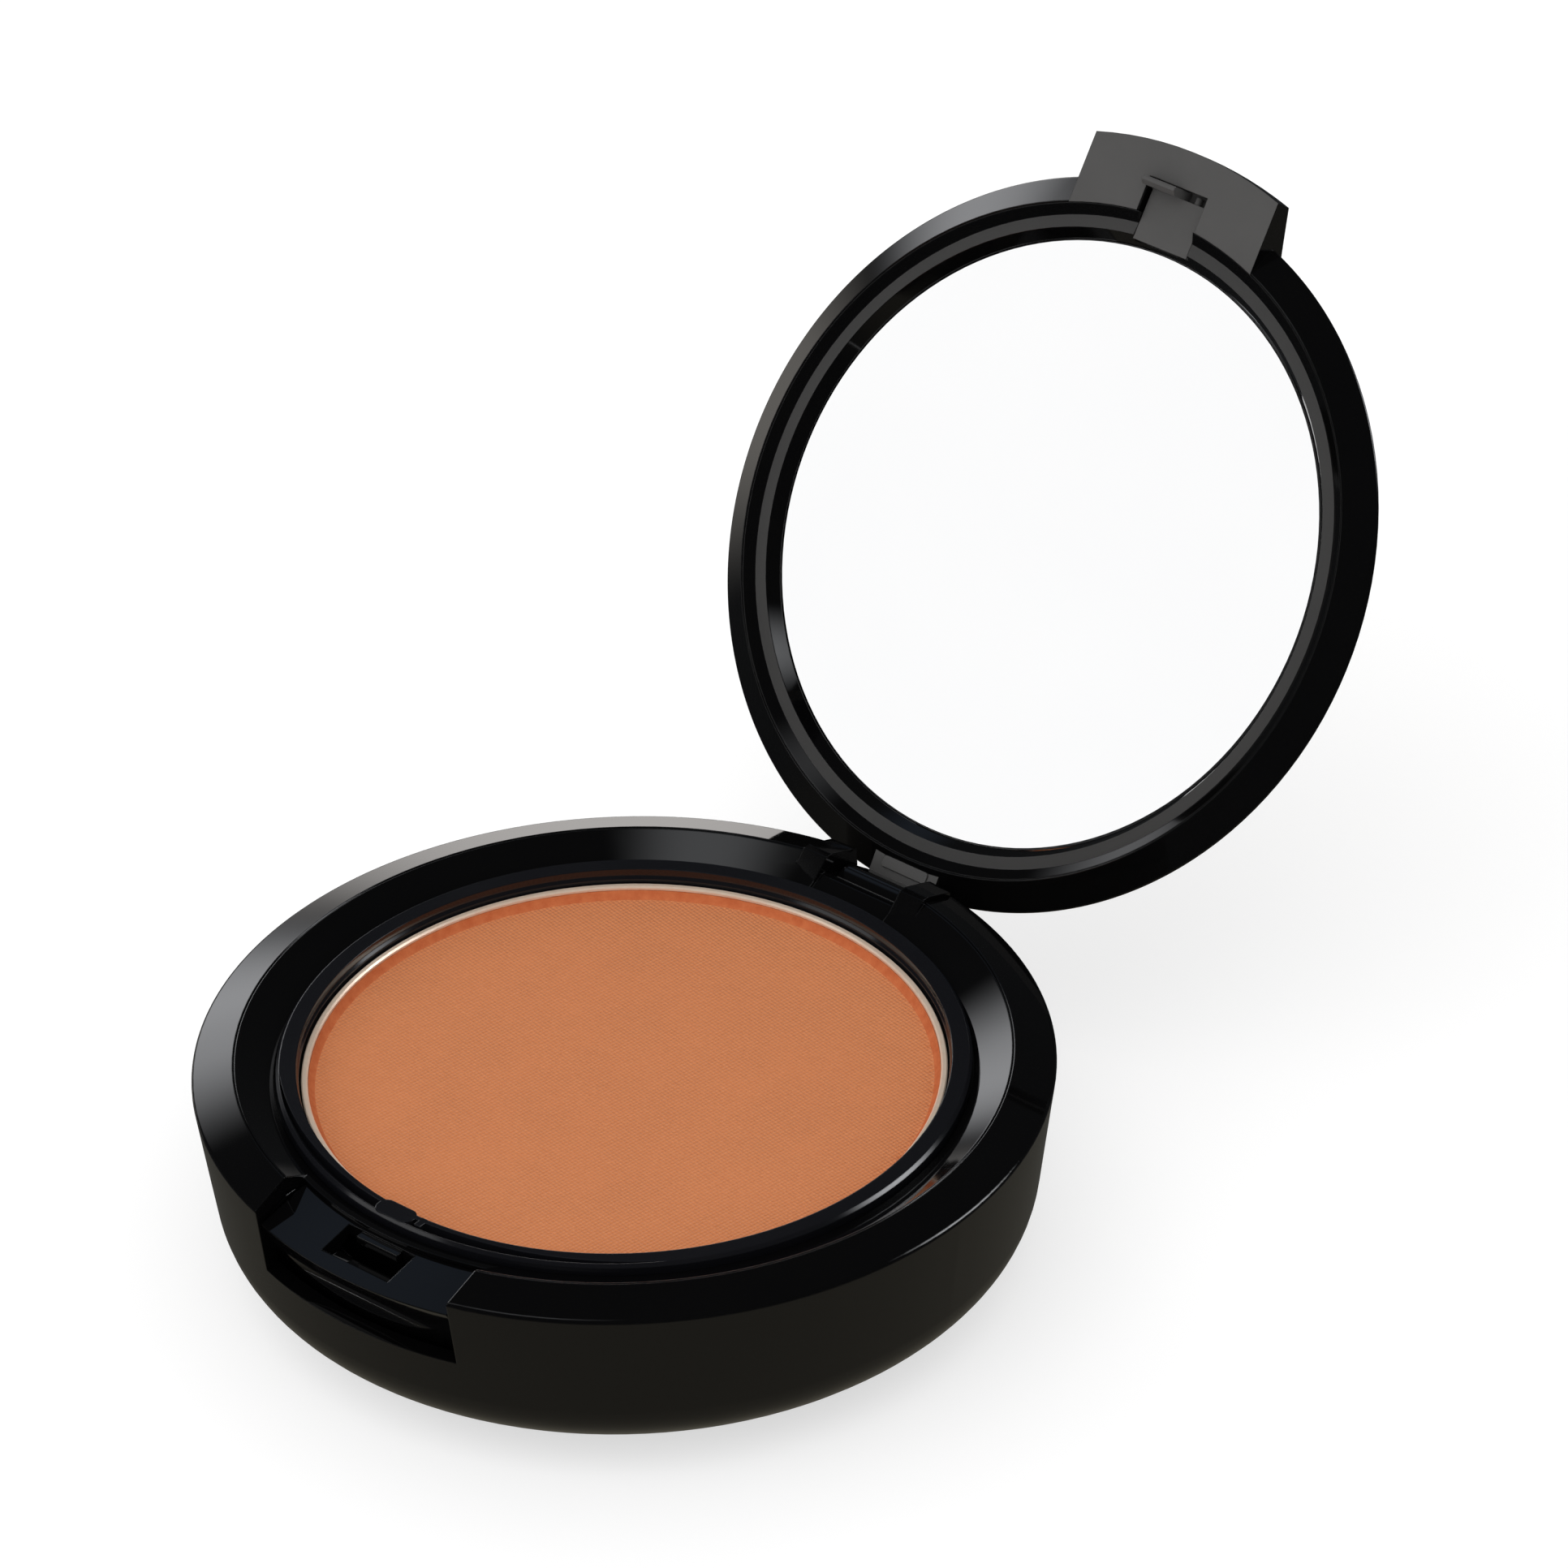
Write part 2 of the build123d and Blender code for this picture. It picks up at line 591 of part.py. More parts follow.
with BuildPart() as mirror_frame:
    with BuildSketch(Plane.XZ):
        with BuildLine():
            Polyline(
                (LID_CREST_R - 0.03, LID_CREST_Z + 0.1),
                (LID_RING_R, LID_RING_Z),
                (29.9, LID_RING_Z - 0.07),
                (MIRROR_R + 0.05, MIRROR_Z),
                (MIRROR_R + 0.05, FRAME_FLOOR_Z),
                (0, FRAME_FLOOR_Z),
                (0, FRAME_FLOOR_Z + 0.6),
                (30.1, FRAME_FLOOR_Z + 0.6),
                (30.1, MIRROR_Z + 0.2),
                (LID_CREST_R - 0.03, MIRROR_Z),
                close=True,
            )
        make_face()
    revolve(axis=Axis.Z)
    with BuildSketch(Plane.XY.offset(LID_CREST_Z - 1)):
        with Locations((0, (TONGUE_END_Y - 33) / 2 + 0.05)):
            Rectangle(2 * TONGUE_HALF + 0.1, TONGUE_END_Y + 33 + 0.1)
    extrude(amount=TONGUE_TOP_Z + 0.03 - LID_CREST_Z + 1, mode=Mode.SUBTRACT)
    with BuildSketch(Plane.XY.offset(LID_CREST_Z - 1)):
        with Locations((0, 33.3)):
            Rectangle(2 * KNUCKLE_HALF + 0.1, 2)
    extrude(amount=8, mode=Mode.SUBTRACT)
save(opened(mirror_frame), "mirror_frame")

with BuildPart() as mirror:
    with BuildSketch(Plane.XY.offset(MIRROR_Z)):
        Circle(MIRROR_R)
    extrude(amount=MIRROR_THICK)
    chamfer(mirror.edges(), 0.15)
save(opened(mirror), "mirror")

with BuildPart() as mirror_pad:
    with BuildSketch(Plane.XY.offset(MIRROR_Z + MIRROR_THICK)):
        Circle(MIRROR_R - 1.5)
    extrude(amount=PAD_THICK)
save(opened(mirror_pad), "mirror_pad")

HOOK_LEFT, HOOK_RIGHT = -3.3, 0.5
HOOK_INNER_Y = -34.45
HOOK_OUTER_Y = -35.3
PEG_X = 1.8

with BuildPart() as latch_hook:
    with BuildSketch(Plane.XY.offset(LID_RING_Z)):
        with Locations((0, (TONGUE_END_Y + HOOK_INNER_Y) / 2)):
            Rectangle(2 * TONGUE_HALF, TONGUE_END_Y - HOOK_INNER_Y)
    extrude(amount=TONGUE_TOP_Z - LID_RING_Z)
    with BuildSketch(Plane.YZ.offset(HOOK_LEFT)):
        with BuildLine():
            Polyline(
                (HOOK_INNER_Y + 0.1, TONGUE_TOP_Z),
                (HOOK_OUTER_Y, TONGUE_TOP_Z),
                (HOOK_OUTER_Y, LID_CREST_Z - HOOK_DEPTH + 0.15),
                (HOOK_OUTER_Y + 0.15, LID_CREST_Z - HOOK_DEPTH),
                (HOOK_INNER_Y - 0.4, LID_CREST_Z - HOOK_DEPTH),
                (HOOK_INNER_Y, LID_CREST_Z - HOOK_DEPTH + 0.5),
                (HOOK_INNER_Y, LID_RING_Z + 0.1),
                (HOOK_INNER_Y + 0.1, LID_RING_Z + 0.1),
                close=True,
            )
        make_face()
    extrude(amount=HOOK_RIGHT - HOOK_LEFT)
    with BuildSketch(Plane.XZ.offset(-HOOK_INNER_Y)):
        with Locations((PEG_X, LID_RING_Z + 0.45)):
            Circle(0.32)
    extrude(amount=0.7)
save(opened(latch_hook), "latch_hook")
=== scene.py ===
"""Looks of the powder compact: materials, the pressed powder and the puff, the studio and the camera.

Metres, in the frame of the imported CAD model: +Z up, the button towards -Y, the hinge at +Y.
"""

import math

import bmesh
import bpy
from mathutils import Matrix, Vector, noise


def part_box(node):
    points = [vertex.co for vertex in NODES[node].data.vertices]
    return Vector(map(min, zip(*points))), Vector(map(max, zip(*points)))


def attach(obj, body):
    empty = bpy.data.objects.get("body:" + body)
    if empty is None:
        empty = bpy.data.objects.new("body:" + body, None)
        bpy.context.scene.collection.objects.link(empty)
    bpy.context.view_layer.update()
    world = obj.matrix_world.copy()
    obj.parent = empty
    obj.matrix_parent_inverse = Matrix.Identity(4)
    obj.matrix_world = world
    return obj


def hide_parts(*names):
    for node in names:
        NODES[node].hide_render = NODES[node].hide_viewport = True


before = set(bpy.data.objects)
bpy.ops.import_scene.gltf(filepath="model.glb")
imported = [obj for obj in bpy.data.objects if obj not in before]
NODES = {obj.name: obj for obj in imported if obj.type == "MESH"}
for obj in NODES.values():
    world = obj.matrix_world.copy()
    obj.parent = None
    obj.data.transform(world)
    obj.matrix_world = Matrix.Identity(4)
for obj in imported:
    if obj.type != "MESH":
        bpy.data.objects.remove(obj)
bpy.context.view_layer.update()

MM = 0.001
CASE_EDGE = 0.16 * MM  # radius by which the shading rounds the case's sharp edges
TRAY_EDGE = 0.14 * MM
LAND_EDGE = 0.10 * MM
WEAVE_PITCH = 0.40 * MM


# ---------------------------------------------------------------- node helpers
class Shader:
    """A node material under construction, with short ways to add and link nodes."""

    def __init__(self, name):
        self.material = bpy.data.materials.new(name)
        self.material.use_nodes = True
        self.tree = self.material.node_tree
        self.bsdf = self.tree.nodes["Principled BSDF"]
        self.place = self.tree.nodes.new("ShaderNodeTexCoord").outputs["Object"]

    def add(self, kind, inputs=(), **settings):
        """Add a node; inputs are (socket, value or other node's output)."""
        node = self.tree.nodes.new(kind)
        for key, value in settings.items():
            setattr(node, key, value)
        for socket, value in inputs:
            if isinstance(value, bpy.types.NodeSocket):
                self.tree.links.new(value, node.inputs[socket])
            else:
                node.inputs[socket].default_value = value
        return node

    def set(self, **values):
        """Set uniform values on the main shader's own sockets."""
        for key, value in values.items():
            self.bsdf.inputs[key.replace("_", " ")].default_value = value

    def link(self, output, socket):
        self.tree.links.new(output, self.bsdf.inputs[socket])

    def scaled(self, scale, turn=0.0):
        """Object coordinates in units of 1/scale metres, turned about Z."""
        node = self.add("ShaderNodeMapping", [("Vector", self.place)])
        node.inputs["Scale"].default_value = (scale, scale, scale)
        node.inputs["Rotation"].default_value = (0, 0, turn)
        return node.outputs["Vector"]

    def noise(self, scale, detail=3.0, roughness=0.55, vector=None):
        """Noise with features about 1/scale metres wide."""
        sockets = [
            ("Vector", vector or self.place),
            ("Scale", scale),
            ("Detail", detail),
            ("Roughness", roughness),
        ]
        return self.add("ShaderNodeTexNoise", sockets).outputs["Fac"]

    def spread(self, value, low, high, start=0.3, stop=0.7):
        """Map a 0 to 1 value onto low to high."""
        sockets = [
            ("Value", value),
            ("From Min", start),
            ("From Max", stop),
            ("To Min", low),
            ("To Max", high),
        ]
        return self.add("ShaderNodeMapRange", sockets).outputs["Result"]

    def mix(self, factor, first, second):
        """Colour mix of two colours or outputs."""
        node = self.add("ShaderNodeMix", data_type="RGBA")
        for index, value in ((0, factor), (6, first), (7, second)):
            if isinstance(value, bpy.types.NodeSocket):
                self.tree.links.new(value, node.inputs[index])
            else:
                node.inputs[index].default_value = value
        return node.outputs[2]

    def math(self, operation, *values):
        node = self.add("ShaderNodeMath", operation=operation)
        for index, value in enumerate(values):
            if isinstance(value, bpy.types.NodeSocket):
                self.tree.links.new(value, node.inputs[index])
            else:
                node.inputs[index].default_value = value
        return node.outputs[0]

    def bump(self, height, strength, distance):
        sockets = [("Height", height), ("Strength", strength), ("Distance", distance)]
        self.link(self.add("ShaderNodeBump", sockets).outputs["Normal"], "Normal")


def grey(value, warmth=0.0):
    return (value * (1 + warmth), value, value * (1 - warmth), 1.0)


# ---------------------------------------------------------------- materials
OPEN_ANGLE = math.radians(128.12)  # how far the lid is turned open
LAND_DOWN = (0.0, -math.sin(OPEN_ANGLE), -math.cos(OPEN_ANGLE))  # the shut lid's -Z, with the lid open


def gloss_colour(s, cloud):
    return s.mix(cloud, (0.0012, 0.0012, 0.0014, 1), (0.0022, 0.0021, 0.0021, 1))


def matte_colour(s, cloud, painted_shade=1.0):
    # a factor below 1 darkens the matte grey: painted shade
    return s.mix(s.spread(cloud, 0.0, 1.0), grey(0.064 * painted_shade, 0.02), grey(0.078 * painted_shade, 0.02))


def soften_edges(s, radius):
    """Round the shading of sharp edges."""
    s.link(s.add("ShaderNodeBevel", [("Radius", radius)], samples=6).outputs["Normal"], "Normal")


def gloss_case():
    """Polished black moulding with a faint flow in the gloss."""
    s = Shader("gloss_case")
    cloud = s.noise(60.0, 4.0)
    s.link(gloss_colour(s, cloud), "Base Color")
    s.link(s.spread(cloud, 0.030, 0.055), "Roughness")
    s.set(IOR=1.5)
    soften_edges(s, CASE_EDGE)
    return s.material


def gloss_with_lands(name, painted_shade):
    """Polished moulding of the lid whose flat lands, facing down when shut, are left matte; a factor below 1
    darkens the matte grey as painted shade.
    """
    s = Shader(name)
    cloud = s.noise(60.0, 4.0)
    facing = s.add("ShaderNodeVectorMath", operation="DOT_PRODUCT")
    s.tree.links.new(s.add("ShaderNodeTexCoord").outputs["Normal"], facing.inputs[0])
    facing.inputs[1].default_value = LAND_DOWN
    land = s.spread(facing.outputs["Value"], 0.0, 1.0, 0.975, 0.985)
    s.link(s.mix(land, gloss_colour(s, cloud), matte_colour(s, cloud, painted_shade)), "Base Color")
    rough = s.spread(s.noise(6500.0, 3.0, 0.7), 0.42, 0.56)
    sockets = [("Value", land), ("To Min", 0.04), ("To Max", rough)]
    s.link(s.add("ShaderNodeMapRange", sockets).outputs[0], "Roughness")
    s.set(IOR=1.5)
    soften_edges(s, CASE_EDGE)
    return s.material


def tray_plastic():
    """Black moulding of the tray, a touch softer in its shine than the case."""
    s = Shader("tray_plastic")
    cloud = s.noise(70.0, 3.0)
    s.link(s.mix(cloud, (0.0044, 0.0046, 0.0062, 1), (0.0064, 0.0066, 0.0080, 1)), "Base Color")
    s.link(s.spread(cloud, 0.10, 0.15), "Roughness")
    s.set(IOR=1.5)
    soften_edges(s, TRAY_EDGE)
    return s.material


def land_grey():
    """Matte grey of the small lid pieces that lie flush in its lands."""
    s = Shader("land_grey")
    s.link(matte_colour(s, s.noise(60.0, 4.0)), "Base Color")
    s.link(s.spread(s.noise(6500.0, 3.0, 0.7), 0.42, 0.56), "Roughness")
    s.set(IOR=1.48)
    soften_edges(s, LAND_EDGE)
    return s.material


def mirror_glass():
    """Silvered glass with the faintest breath of haze."""
    s = Shader("mirror_glass")
    haze = s.noise(45.0, 4.0)
    s.link(s.mix(haze, (0.93, 0.93, 0.935, 1), (0.96, 0.96, 0.96, 1)), "Base Color")
    s.link(s.spread(haze, 0.005, 0.03), "Roughness")
    s.set(Metallic=1.0)
    return s.material


def powder_colour(s):
    """Patchy tone of the pressed powder."""
    patch = s.spread(s.noise(60.0, 3.0, 0.5), 0.25, 0.75)
    speck = s.spread(s.noise(3600.0, 2.0, 0.8), 0.0, 1.0, 0.35, 0.75)
    tone = s.mix(patch, (0.680, 0.232, 0.088, 1), (0.705, 0.248, 0.095, 1))
    return s.mix(s.math("MULTIPLY", speck, 0.34), tone, (0.83, 0.36, 0.16, 1))


def pressed_powder():
    """Powder pressed through cloth: a fine weave, a little deeper in some places, with painted shade
    darkening the weave's hollows.
    """
    s = Shader("pressed_powder")
    turned = s.add("ShaderNodeSeparateXYZ", [("Vector", s.scaled(1.0, math.radians(12)))])
    pitch = 2 * math.pi / WEAVE_PITCH
    warp = s.math("SINE", s.math("MULTIPLY", turned.outputs[0], pitch))
    weft = s.math("SINE", s.math("MULTIPLY", turned.outputs[1], pitch * 1.06))
    cloth = s.math("MULTIPLY", s.math("ADD", warp, weft), s.spread(s.noise(130.0, 3.0), 0.5, 0.75))
    # painted shade: the weave's hollows are mixed towards a dark red-brown in the colour
    painted_shade = s.spread(cloth, 0.0, 0.45, -1.2, 1.2)
    s.link(s.mix(painted_shade, powder_colour(s), (0.47, 0.132, 0.046, 1)), "Base Color")
    grain = s.math("MULTIPLY", s.noise(7000.0, 4.0, 0.75), 0.9)
    s.bump(s.math("SUBTRACT", grain, cloth), 0.9, 0.00006)
    s.set(Roughness=0.92, Specular_IOR_Level=0.12, Sheen_Weight=0.08, Sheen_Roughness=0.5)
    return s.material


def powder_edge_painted_shade():
    """Edge of the cake, darker and redder than its pressed face: painted shade from the pan's wall."""
    s = Shader("powder_edge_painted_shade")
    tone = s.spread(s.noise(900.0, 4.0, 0.7), 0.0, 1.0)
    # painted shade: both colours are the cake's orange darkened as if shaded by the pan's wall
    s.link(s.mix(tone, (0.50, 0.120, 0.042, 1), (0.60, 0.175, 0.066, 1)), "Base Color")
    s.bump(s.noise(4200.0, 5.0, 0.8), 0.8, 0.00008)
    s.set(Roughness=0.96, Specular_IOR_Level=0.1)
    return s.material


def pan_tin():
    """Satin tin of the pan, dusted by the powder."""
    s = Shader("pan_tin")
    dust = s.spread(s.noise(1500.0, 4.0, 0.7), 0.0, 0.4, 0.45, 0.8)
    s.link(s.mix(dust, (0.84, 0.68, 0.54, 1), (0.78, 0.48, 0.32, 1)), "Base Color")
    s.link(s.spread(s.noise(700.0), 0.28, 0.42), "Roughness")
    s.set(Metallic=0.35)
    s.bump(s.noise(2500.0, 2.0), 0.08, 0.00003)
    return s.material


def puff_velour():
    """Short pile of the puff."""
    s = Shader("puff_velour")
    pile = s.noise(2600.0, 5.0, 0.8)
    s.link(s.mix(pile, (0.78, 0.69, 0.58, 1), (0.90, 0.84, 0.76, 1)), "Base Color")
    s.bump(pile, 0.9, 0.0002)
    s.set(Roughness=0.95, Sheen_Weight=0.6, Sheen_Roughness=0.4)
    return s.material


def foam_tape():
    s = Shader("foam_tape")
    cells = s.noise(3000.0, 3.0, 0.8)
    s.link(s.mix(cells, (0.60, 0.60, 0.57, 1), (0.78, 0.78, 0.74, 1)), "Base Color")
    s.bump(cells, 0.4, 0.00005)
    s.set(Roughness=0.8)
    return s.material


def label_film():
    s = Shader("label_film")
    fibre = s.noise(500.0, 4.0)
    s.link(s.mix(fibre, (0.50, 0.50, 0.50, 1), (0.57, 0.57, 0.57, 1)), "Base Color")
    s.link(s.spread(fibre, 0.22, 0.35), "Roughness")
    return s.material


def drawn_steel(name):
    """Bare steel with drawing lines along X."""
    s = Shader(name)
    lines = s.add("ShaderNodeMapping", [("Vector", s.place)])
    lines.inputs["Scale"].default_value = (0.03, 1, 1)
    streak = s.noise(9000.0, 2.0, vector=lines.outputs["Vector"])
    s.link(s.mix(streak, (0.48, 0.48, 0.50, 1), (0.62, 0.62, 0.64, 1)), "Base Color")
    s.link(s.spread(streak, 0.22, 0.4), "Roughness")
    s.set(Metallic=1.0)
    s.bump(streak, 0.15, 0.00002)
    return s.material


GLOSS, LAND = gloss_case(), land_grey()
NODE_MATERIALS = {
    "base_shell": GLOSS,
    "base_frame": GLOSS,
    "latch_button": GLOSS,
    "lid_cover": gloss_with_lands("lid_gloss", 1.0),
    # painted shade: the mirror frame's lands are the lid's matte grey darkened to 0.55
    "mirror_frame": gloss_with_lands("mirror_frame_gloss", 0.55),
    "tray": tray_plastic(),
    "latch_hook": LAND,
    "hinge_plug": LAND,
    "mirror": mirror_glass(),
    "powder_pan": pan_tin(),
    "base_label": label_film(),
    "lid_hinge_pin": drawn_steel("pin_steel"),
    "button_spring": drawn_steel("spring_steel"),
}
TAPE = foam_tape()
NODE_MATERIALS["mirror_pad"] = TAPE
NODE_MATERIALS["pan_pad"] = TAPE

for node_name, material in NODE_MATERIALS.items():
    for slot in NODES[node_name].material_slots:
        slot.material = material


# ---------------------------------------------------------------- mesh pieces
def new_piece(name, bm, materials):
    """Object from a bmesh, smooth shaded."""
    mesh = bpy.data.meshes.new(name)
    bmesh.ops.recalc_face_normals(bm, faces=bm.faces)
    bm.to_mesh(mesh)
    bm.free()
    for material in materials:
        mesh.materials.append(material)
    for polygon in mesh.polygons:
        polygon.use_smooth = True
    piece = bpy.data.objects.new(name, mesh)
    bpy.context.scene.collection.objects.link(piece)
    return piece


def turned_form(name, profile, turns, materials, height=None, slot_of=None):
    """Closed form turned about Z from (radius, z) points that start and end on the axis.

    height(x, y, radius, z) may move a point up or down; slot_of(index) picks the material of a band.
    """
    bm = bmesh.new()
    rings = []
    for radius, z in profile:
        if radius == 0:
            rings.append([bm.verts.new((0, 0, z + (height(0, 0, 0, z) if height else 0)))])
            continue
        ring = []
        for step in range(turns):
            angle = 2 * math.pi * step / turns
            x, y = radius * math.cos(angle), radius * math.sin(angle)
            ring.append(bm.verts.new((x, y, z + (height(x, y, radius, z) if height else 0))))
        rings.append(ring)
    for index in range(len(rings) - 1):
        inner, outer = rings[index], rings[index + 1]
        for step in range(turns):
            after = (step + 1) % turns
            if len(inner) == 1:
                corners = [inner[0], outer[step], outer[after]]
            elif len(outer) == 1:
                corners = [inner[step], outer[0], inner[after]]
            else:
                corners = [inner[step], outer[step], outer[after], inner[after]]
            face = bm.faces.new(corners)
            if slot_of:
                face.material_index = slot_of(index)
    return new_piece(name, bm, materials)


def make_powder():
    """The cake: a very slightly uneven face, a crumbly raised edge coloured with painted shade, and a few
    chips at the back right.
    """
    low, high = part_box("powder_cake")
    radius = high[0]
    floor_z, rim_z = low[2], high[2]
    face_z = rim_z - 0.73 * MM
    edge_width = 0.6 * MM
    face_r = radius - edge_width
    rows = 90
    profile = [(face_r * row / rows, face_z) for row in range(rows + 1)]
    edge_rows = 7
    for row in range(1, edge_rows + 1):
        share = row / edge_rows
        profile.append((face_r + edge_width * share, face_z + (rim_z - face_z) * share**1.5))
    profile.append((radius, (rim_z + floor_z) / 2))
    profile.append((radius - 0.9 * MM, floor_z))
    profile.append((0, floor_z))

    def height(x, y, r, z):
        if z < face_z - 0.01 * MM:
            return 0.0
        wave = 0.035 * MM * noise.noise(Vector((x, y, 0)) * 90)
        crumble = max(0.0, 1 - abs(r - face_r) / (0.9 * MM))
        side = max(0.0, math.cos(math.atan2(y, x) - math.radians(28))) ** 6
        rough = noise.noise(Vector((x, y, 3.7)) * 2600) + 0.6 * noise.noise(Vector((x, y, 9.1)) * 6000)
        chips = min(0.0, noise.noise(Vector((x, y, 1.3)) * 1500) + 0.15) * side
        return wave + crumble * (0.05 * MM * rough + 0.55 * MM * chips)

    def slot_of(index):
        return 1 if index >= rows else 0

    # the edge rows take the material with the painted shade
    return turned_form("pressed_powder", profile, 720, [pressed_powder(), powder_edge_painted_shade()], height, slot_of)


def make_puff():
    """Round velour puff, crowned on both faces, with a stitched seam round its edge."""
    low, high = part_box("puff")
    radius = high[0] - 0.2 * MM
    middle = (low[2] + high[2]) / 2
    half = (high[2] - low[2]) / 2 - 0.1 * MM
    points = 44
    profile = [(0, middle + half)]
    for step in range(1, 2 * points):
        angle = math.pi * step / (2 * points)
        out, up = math.sin(angle), math.cos(angle)
        seam = 0.35 * MM * math.exp(-((angle - math.pi / 2) / 0.05) ** 2)
        profile.append((radius * abs(out) ** 0.34 - seam, middle + half * math.copysign(abs(up) ** 0.62, up)))
    profile.append((0, middle - half))

    def height(x, y, r, z):
        fade = min(1.0, abs(z - middle) / half)
        return -fade * math.copysign(0.12 * MM, z - middle) * (1 + noise.noise(Vector((x, y, z)) * 260))

    return turned_form("velour_puff", profile, 240, [puff_velour()], height)


powder = make_powder()
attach(powder, "base")
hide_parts("powder_cake")

puff = make_puff()
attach(puff, "base")
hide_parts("puff")


# ---------------------------------------------------------------- studio
EDGE_HEIGHT = 19.3 * MM  # widest edge of the base above the floor


def make_floor():
    """Large pale floor with a faint mottle."""
    s = Shader("studio_floor")
    s.link(s.mix(s.noise(3.0, 2.0), grey(0.46), grey(0.47)), "Base Color")
    s.set(Roughness=0.9, Specular_IOR_Level=0.0, Emission_Color=grey(1.0), Emission_Strength=0.62)
    bm = bmesh.new()
    bmesh.ops.create_circle(bm, cap_ends=True, radius=12.0, segments=96)
    bmesh.ops.translate(bm, verts=bm.verts, vec=(0, 0, -0.00002))
    floor = new_piece("studio_floor", bm, [s.material])
    floor.visible_glossy = False
    return floor


def world_glow(tree, way, toward, half_width, half_height, colour, strength):
    """Soft oval of light in the direction toward, its half sizes given as tangents."""
    centre = Vector(toward).normalized()
    across = Vector((0, 0, 1)).cross(centre).normalized()
    upward = centre.cross(across)

    def along(vector):
        dot = tree.nodes.new("ShaderNodeVectorMath")
        dot.operation = "DOT_PRODUCT"
        dot.inputs[1].default_value = vector
        tree.links.new(way, dot.inputs[0])
        return dot.outputs["Value"]

    def calc(operation, first, second):
        node = tree.nodes.new("ShaderNodeMath")
        node.operation = operation
        for socket, value in zip(node.inputs, (first, second)):
            if isinstance(value, bpy.types.NodeSocket):
                tree.links.new(value, socket)
            else:
                socket.default_value = value
        return node.outputs[0]

    ahead = calc("MAXIMUM", along(centre), 0.02)
    wide = calc("DIVIDE", calc("DIVIDE", along(across), ahead), half_width)
    tall = calc("DIVIDE", calc("DIVIDE", along(upward), ahead), half_height)
    wide_squared = calc("POWER", calc("ABSOLUTE", wide, 0), 2)
    tall_squared = calc("POWER", calc("ABSOLUTE", tall, 0), 2)
    away = calc("SQRT", calc("ADD", wide_squared, tall_squared), 0)
    fade = tree.nodes.new("ShaderNodeMapRange")
    fade.interpolation_type = "SMOOTHSTEP"
    fade.inputs["From Min"].default_value = 1.0
    fade.inputs["From Max"].default_value = 0.15
    fade.inputs["To Max"].default_value = strength
    tree.links.new(away, fade.inputs["Value"])
    glow = tree.nodes.new("ShaderNodeBackground")
    glow.inputs["Color"].default_value = (*colour, 1)
    tree.links.new(fade.outputs[0], glow.inputs["Strength"])
    return glow.outputs[0]


GLOWS = [  # toward, half sizes as tangents, colour, radiance
    ((-0.85, 0.42, 0.34), 0.42, 0.34, (0.96, 0.97, 1.0), 2.6),  # left, high
    ((-0.66, 0.745, -0.02), 0.34, 0.26, (1.0, 0.96, 0.93), 1.6),  # left, low, further back
    ((-0.95, 0.20, -0.15), 0.32, 0.28, (1.0, 0.95, 0.88), 0.6),  # far left, faint
    ((-0.16, -0.13, 0.98), 0.24, 0.24, (0.95, 0.97, 1.0), 1.3),  # overhead
    ((-0.535, 0.386, 0.751), 0.26, 0.26, (0.55, 0.72, 1.0), 0.2),  # skylight on the button's top
    ((0.54, 0.63, 0.53), 0.35, 0.35, (0.95, 0.97, 1.0), 8.0),  # behind, caught only by rounded edges
    ((0.1, -0.1, -1.0), 2.4, 2.4, (1.0, 0.90, 0.66), 0.16),  # thrown up by the table
]


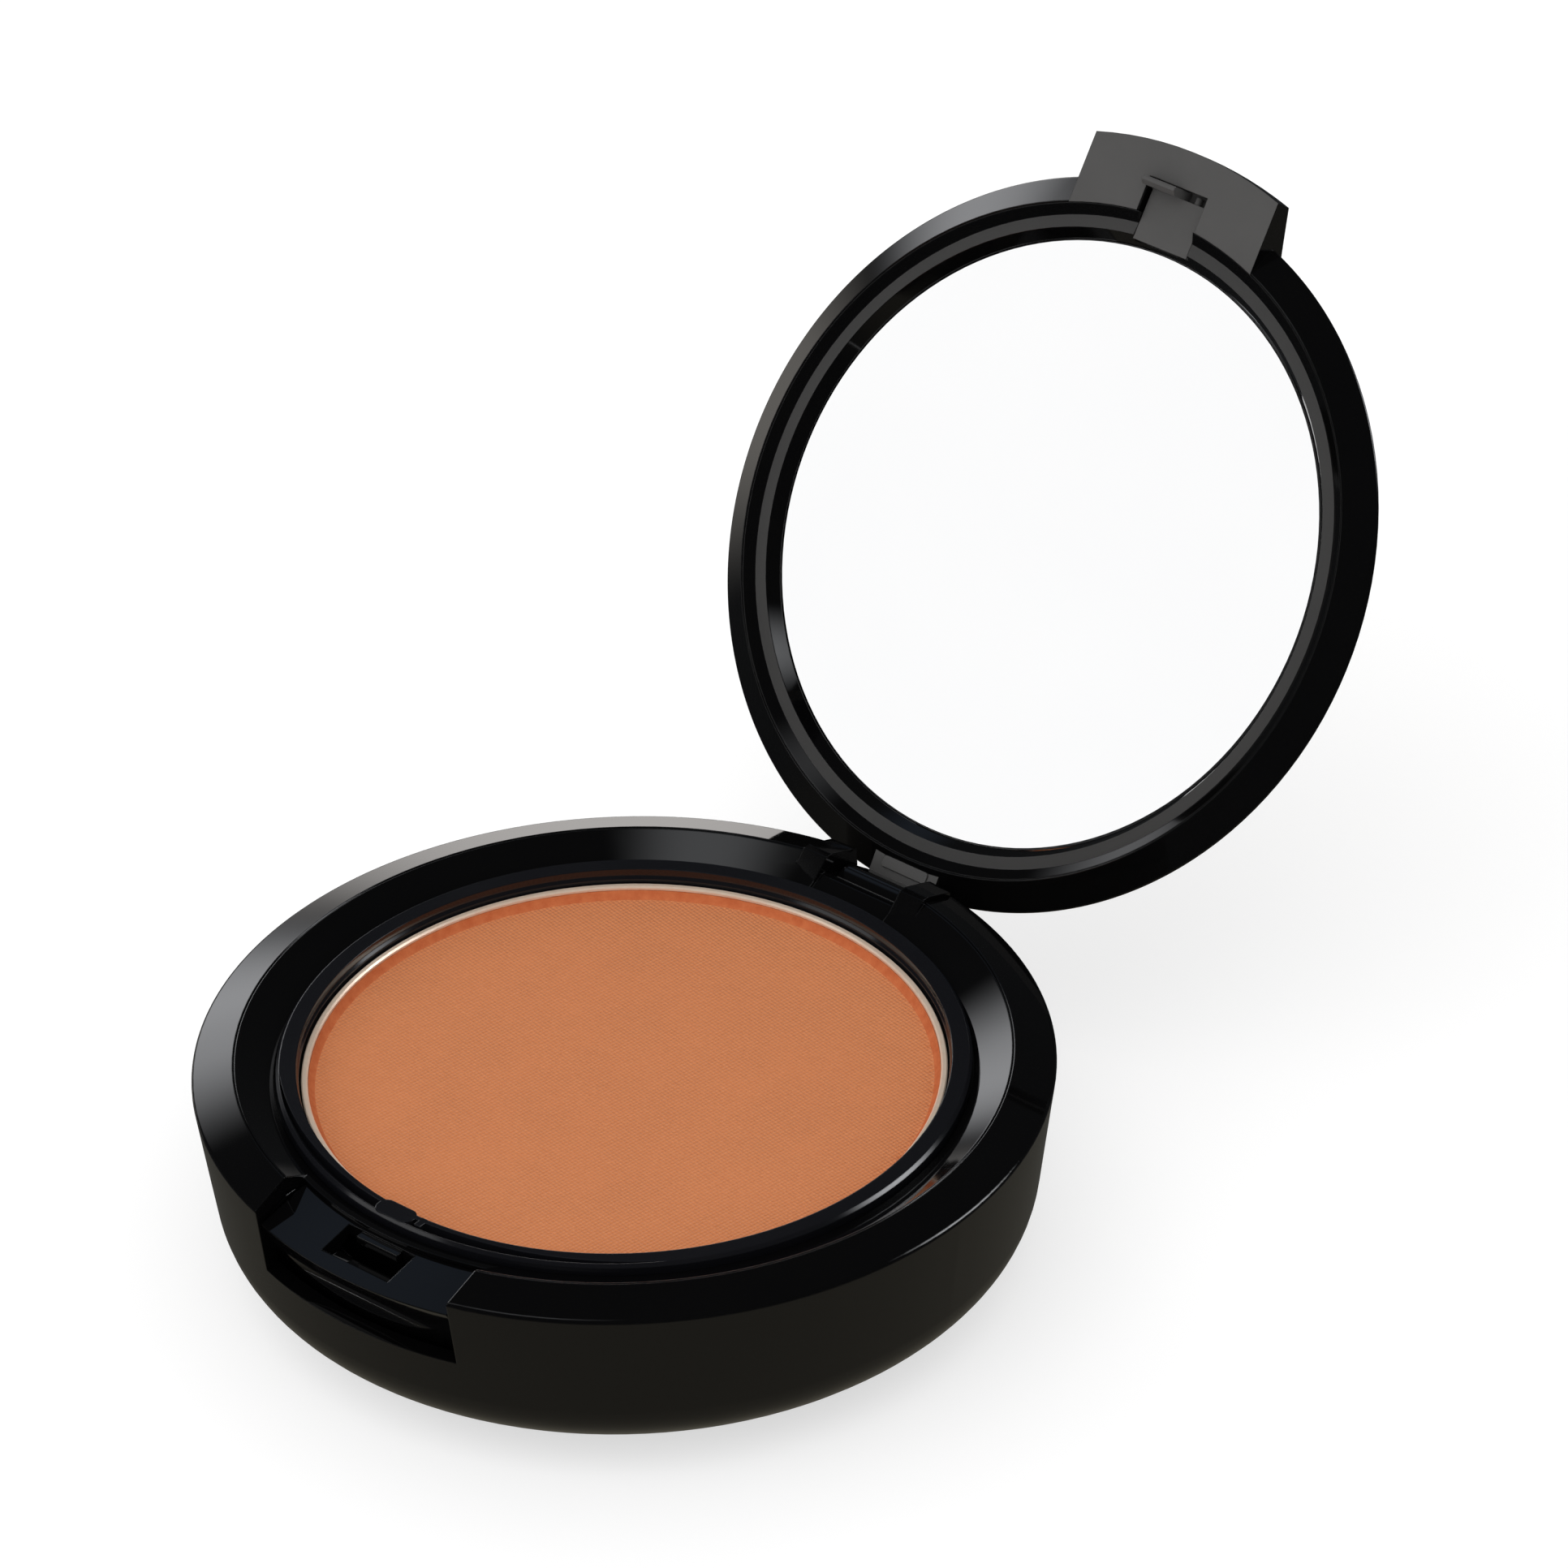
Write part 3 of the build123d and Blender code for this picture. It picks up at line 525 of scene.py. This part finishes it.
def make_world():
    """White surroundings, but what the gloss mirrors is dark apart from a few soft glows."""
    world = bpy.data.worlds.new("studio")
    bpy.context.scene.world = world
    world.use_nodes = True
    tree = world.node_tree
    tree.nodes.clear()
    path = tree.nodes.new("ShaderNodeLightPath")
    way = tree.nodes.new("ShaderNodeTexCoord").outputs["Generated"]
    bright = tree.nodes.new("ShaderNodeBackground")
    bright.inputs["Color"].default_value = (1, 1, 1, 1)
    bright.inputs["Strength"].default_value = 0.75
    dark = tree.nodes.new("ShaderNodeBackground")
    dark.inputs["Color"].default_value = (0.9, 0.95, 1.0, 1)
    dark.inputs["Strength"].default_value = 0.03
    mirrored = dark.outputs[0]
    for glow in GLOWS:
        total = tree.nodes.new("ShaderNodeAddShader")
        tree.links.new(mirrored, total.inputs[0])
        tree.links.new(world_glow(tree, way, *glow), total.inputs[1])
        mirrored = total.outputs[0]
    seen = tree.nodes.new("ShaderNodeBackground")
    seen.inputs["Color"].default_value = (1, 1, 1, 1)
    seen.inputs["Strength"].default_value = 1.0
    first = tree.nodes.new("ShaderNodeMixShader")
    second = tree.nodes.new("ShaderNodeMixShader")
    out = tree.nodes.new("ShaderNodeOutputWorld")
    tree.links.new(path.outputs["Is Glossy Ray"], first.inputs[0])
    tree.links.new(bright.outputs[0], first.inputs[1])
    tree.links.new(mirrored, first.inputs[2])
    tree.links.new(path.outputs["Is Camera Ray"], second.inputs[0])
    tree.links.new(first.outputs[0], second.inputs[1])
    tree.links.new(seen.outputs[0], second.inputs[2])
    tree.links.new(second.outputs[0], out.inputs["Surface"])


def softbox(name, toward, distance, size, radiance, aim=(0, 0, 0.02), colour=(1, 1, 1), glossy=True):
    """Rectangular light in direction toward from aim; radiance is its brightness when seen."""
    data = bpy.data.lights.new(name, "AREA")
    data.shape = "RECTANGLE"
    data.size, data.size_y = size
    data.energy = radiance * math.pi * size[0] * size[1]
    data.color = colour
    light = bpy.data.objects.new(name, data)
    direction = Vector(toward).normalized()
    light.location = Vector(aim) + distance * direction
    light.rotation_euler = direction.to_track_quat("Z", "Y").to_euler()
    light.visible_glossy = glossy
    light.visible_camera = False
    bpy.context.scene.collection.objects.link(light)
    return light


def make_lights():
    lid_low, lid_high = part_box("mirror")
    mirror_centre = [(a + b) / 2 for a, b in zip(lid_low, lid_high)]
    softbox("mirror_card", (-0.535, -0.698, 0.476), 0.6, (0.26, 0.26), 1.0, aim=mirror_centre)
    softbox("left", (-0.86, 0.50, 0.25), 1.0, (0.95, 0.44), 1.2, colour=(1.0, 0.97, 0.94), glossy=False)
    softbox("fill", (0.2, -0.6, 0.9), 1.6, (1.6, 1.6), 0.9, glossy=False)


def make_camera():
    """Viewpoint 40 degrees round to the right and 34 degrees up, through a long lens."""
    azimuth, elevation, roll = math.radians(40.387), math.radians(34.362), math.radians(-1.532)
    data = bpy.data.cameras.new("camera")
    data.sensor_width = 36.0
    data.lens = 256.4
    data.clip_start, data.clip_end = 0.05, 60.0
    camera = bpy.data.objects.new("camera", data)
    turn = Matrix.Rotation(azimuth, 4, "Z")
    turn = turn @ Matrix.Rotation(math.pi / 2 - elevation, 4, "X") @ Matrix.Rotation(roll, 4, "Z")
    eye = Vector((547.1, -619.6, 595.2)) * MM + Vector((0, 0, EDGE_HEIGHT))
    camera.matrix_world = Matrix.Translation(eye) @ turn
    bpy.context.scene.collection.objects.link(camera)
    bpy.context.scene.camera = camera


make_floor()
make_world()
make_lights()
make_camera()
bpy.context.scene.view_settings.view_transform = "Standard"
